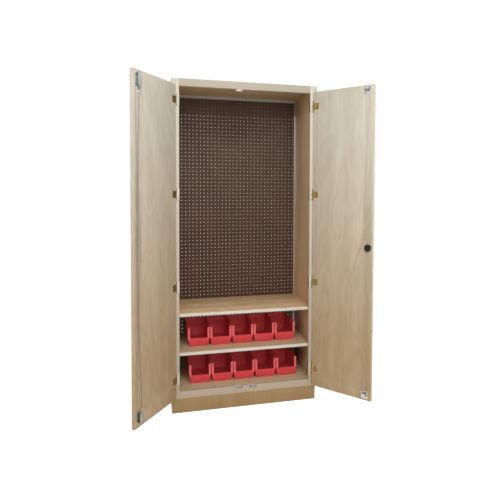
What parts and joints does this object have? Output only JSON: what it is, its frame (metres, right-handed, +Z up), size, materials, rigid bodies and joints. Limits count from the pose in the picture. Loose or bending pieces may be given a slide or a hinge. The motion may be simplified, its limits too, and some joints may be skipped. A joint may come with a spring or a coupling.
{
  "type": "tool cabinet",
  "caption": "Tall wooden two-door tool cabinet with a perforated back panel, shelves and open-front parts bins, shown open.",
  "frame": {"origin": "on the floor at the centre of the carcass's footprint, doors left out", "axes": "+X to the right as seen from the front, +Y to the back, +Z up"},
  "size_m": [1.3917, 0.8221, 2.032],
  "materials": {
    "door_veneer": "clear satin lacquer",
    "pale_wood": "clear satin lacquer",
    "base_wood": "clear satin lacquer",
    "carcass_wood": "clear satin lacquer",
    "shelf_wood": "clear satin lacquer",
    "edge_band": "smooth pale edge band",
    "hardboard": "tempered hardboard",
    "hinge_brass": "aged satin brass",
    "dark_screw": "dark plated steel",
    "latch_zinc": "zinc plated steel",
    "bolt_steel": "plain steel",
    "guide_white": "moulded plastic",
    "lock_black": "black enamel",
    "lock_chrome": "plated",
    "pull_nickel": "satin nickel plate",
    "bin_red": "moulded polypropylene"
  },
  "bodies": {
    "carcass": {"left_side_panel": "carcass_wood", "right_side_panel": "carcass_wood", "top_panel": "carcass_wood", "bottom_panel": "carcass_wood", "fixed_shelf": "shelf_wood", "lower_shelf": "shelf_wood", "shelf_edge_bands": "edge_band", "shelf_pins": "bolt_steel", "pegboard": "hardboard", "upper_back_rail": "carcass_wood", "lower_back_rail": "carcass_wood", "left_stile": "pale_wood", "right_stile": "pale_wood", "top_rail": "pale_wood", "bottom_rail": "pale_wood", "plinth_front": "base_wood", "plinth_back": "base_wood", "plinth_centre": "base_wood", "upper_strikes": "latch_zinc", "lower_strikes": "latch_zinc", "frame_hinge_leaves": "hinge_brass", "hinge_pins": "hinge_brass", "frame_screws": "dark_screw"},
    "left_door": {"left_door_panel": "door_veneer", "left_door_lipping": "pale_wood", "left_door_hinge_leaves": "hinge_brass", "left_door_screws": "dark_screw", "left_pull": "pull_nickel", "left_pull_screws": "pull_nickel", "upper_latch_case": "latch_zinc", "lower_latch_case": "latch_zinc", "latch_wire": "latch_zinc", "wire_guides": "guide_white"},
    "right_door": {"right_door_panel": "door_veneer", "right_door_lipping": "pale_wood", "right_door_hinge_leaves": "hinge_brass", "right_door_screws": "dark_screw", "right_pull": "pull_nickel", "right_pull_screws": "pull_nickel", "upper_catch_case": "latch_zinc", "lower_catch_case": "latch_zinc", "lock_case": "lock_black", "lock_barrel": "lock_chrome"},
    "upper_latch_bolt": {"upper_latch_bolt": "bolt_steel"},
    "lower_latch_bolt": {"lower_latch_bolt": "bolt_steel"},
    "upper_catch_plunger": {"upper_catch_plunger": "bolt_steel"},
    "lower_catch_plunger": {"lower_catch_plunger": "bolt_steel"},
    "lock_plug": {"lock_plug": "lock_chrome"},
    "lock_bolt": {"lock_bolt": "bolt_steel"},
    "upper_bin_1": {"upper_bin_1": "bin_red"},
    "upper_bin_2": {"upper_bin_2": "bin_red"},
    "upper_bin_3": {"upper_bin_3": "bin_red"},
    "upper_bin_4": {"upper_bin_4": "bin_red"},
    "upper_bin_5": {"upper_bin_5": "bin_red"},
    "lower_bin_1": {"lower_bin_1": "bin_red"},
    "lower_bin_2": {"lower_bin_2": "bin_red"},
    "lower_bin_3": {"lower_bin_3": "bin_red"},
    "lower_bin_4": {"lower_bin_4": "bin_red"},
    "lower_bin_5": {"lower_bin_5": "bin_red"}
  },
  "joints": [
    {"name": "left_door_swing", "type": "hinge", "parent": "carcass", "child": "left_door", "pos_m": [-0.4318, -0.2336, 1], "axis": [0, 0, -1], "range_deg": [-123.7, 4.3]},
    {"name": "right_door_swing", "type": "hinge", "parent": "carcass", "child": "right_door", "pos_m": [0.4318, -0.2336, 1], "axis": [0, 0, 1], "range_deg": [-128, 0]},
    {"name": "upper_bolt_slide", "type": "slide", "parent": "left_door", "child": "upper_latch_bolt", "axis": [0, 0, 1], "range_m": [0, 0.01]},
    {"name": "lower_bolt_slide", "type": "slide", "parent": "left_door", "child": "lower_latch_bolt", "axis": [0, 0, -1], "range_m": [0, 0.01]},
    {"name": "upper_plunger_slide", "type": "slide", "parent": "right_door", "child": "upper_catch_plunger", "axis": [0, 0, 1], "range_m": [-0.004, 0], "stiffness_N_per_m": 400, "springref_m": 0.002},
    {"name": "lower_plunger_slide", "type": "slide", "parent": "right_door", "child": "lower_catch_plunger", "axis": [0, 0, -1], "range_m": [-0.004, 0], "stiffness_N_per_m": 400, "springref_m": 0.002},
    {"name": "lock_turn", "type": "hinge", "parent": "right_door", "child": "lock_plug", "pos_m": [0.68053, -0.55196, 1.023], "axis": [0.788, 0.6157, 0], "range_deg": [0, 90]},
    {"name": "lock_bolt_slide", "type": "slide", "parent": "right_door", "child": "lock_bolt", "axis": [0.6157, -0.788, 0], "range_m": [0, 0.012]},
    {"name": "upper_bin_1_slide", "type": "slide", "parent": "carcass", "child": "upper_bin_1", "axis": [0, -1, 0], "range_m": [0, 0.2]},
    {"name": "upper_bin_2_slide", "type": "slide", "parent": "carcass", "child": "upper_bin_2", "axis": [0, -1, 0], "range_m": [0, 0.2]},
    {"name": "upper_bin_3_slide", "type": "slide", "parent": "carcass", "child": "upper_bin_3", "axis": [0, -1, 0], "range_m": [0, 0.2]},
    {"name": "upper_bin_4_slide", "type": "slide", "parent": "carcass", "child": "upper_bin_4", "axis": [0, -1, 0], "range_m": [0, 0.2]},
    {"name": "upper_bin_5_slide", "type": "slide", "parent": "carcass", "child": "upper_bin_5", "axis": [0, -1, 0], "range_m": [0, 0.2]},
    {"name": "lower_bin_1_slide", "type": "slide", "parent": "carcass", "child": "lower_bin_1", "axis": [0, -1, 0], "range_m": [0, 0.2]},
    {"name": "lower_bin_2_slide", "type": "slide", "parent": "carcass", "child": "lower_bin_2", "axis": [0, -1, 0], "range_m": [0, 0.2]},
    {"name": "lower_bin_3_slide", "type": "slide", "parent": "carcass", "child": "lower_bin_3", "axis": [0, -1, 0], "range_m": [0, 0.2]},
    {"name": "lower_bin_4_slide", "type": "slide", "parent": "carcass", "child": "lower_bin_4", "axis": [0, -1, 0], "range_m": [0, 0.2]},
    {"name": "lower_bin_5_slide", "type": "slide", "parent": "carcass", "child": "lower_bin_5", "axis": [0, -1, 0], "range_m": [0, 0.2]}
  ],
  "couplings": [
    {"joint": "lower_bolt_slide", "follows": "upper_bolt_slide", "ratio": 1},
    {"joint": "lock_bolt_slide", "follows": "lock_turn", "m_per_rad": 0.0076}
  ]
}
